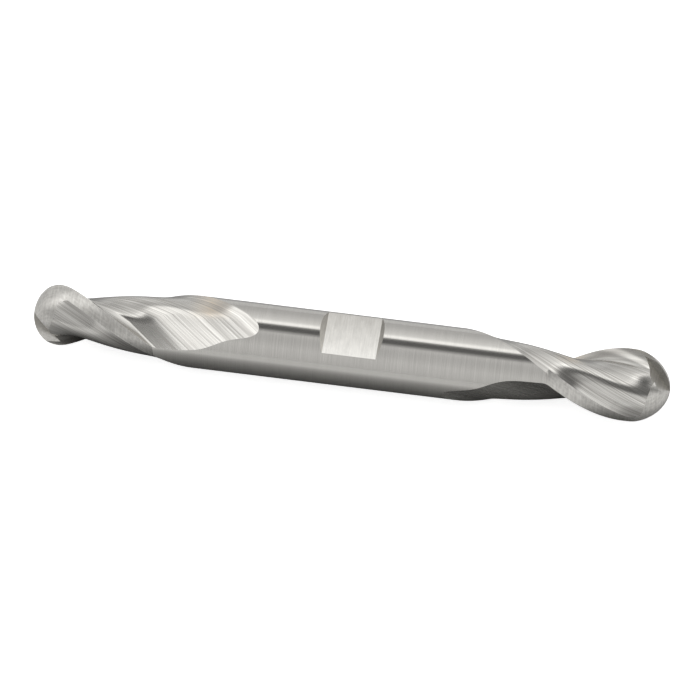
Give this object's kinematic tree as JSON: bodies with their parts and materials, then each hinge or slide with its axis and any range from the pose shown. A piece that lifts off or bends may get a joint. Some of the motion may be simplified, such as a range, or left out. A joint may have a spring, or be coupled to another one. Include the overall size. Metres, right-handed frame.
{
  "type": "ball end mill",
  "caption": "Double-ended ball end mill in bare ground steel: a round shank with a set-screw flat at mid length, and right-hand helical flutes ending in a ball nose at each end.",
  "frame": {"origin": "on the shank's lowest line, under the middle of the tool's length", "axes": "+X along the tool's axis, +Z square to the set-screw flat, out of the shank, +Y across"},
  "size_m": [0.0842, 0.0096, 0.0095],
  "materials": {
    "ground_steel": "bare ground tool steel: fine grinding marks round the shank, along the flutes and across the lands"
  },
  "bodies": {
    "root": {"ball_end_mill": "ground_steel"}
  },
  "joints": []
}
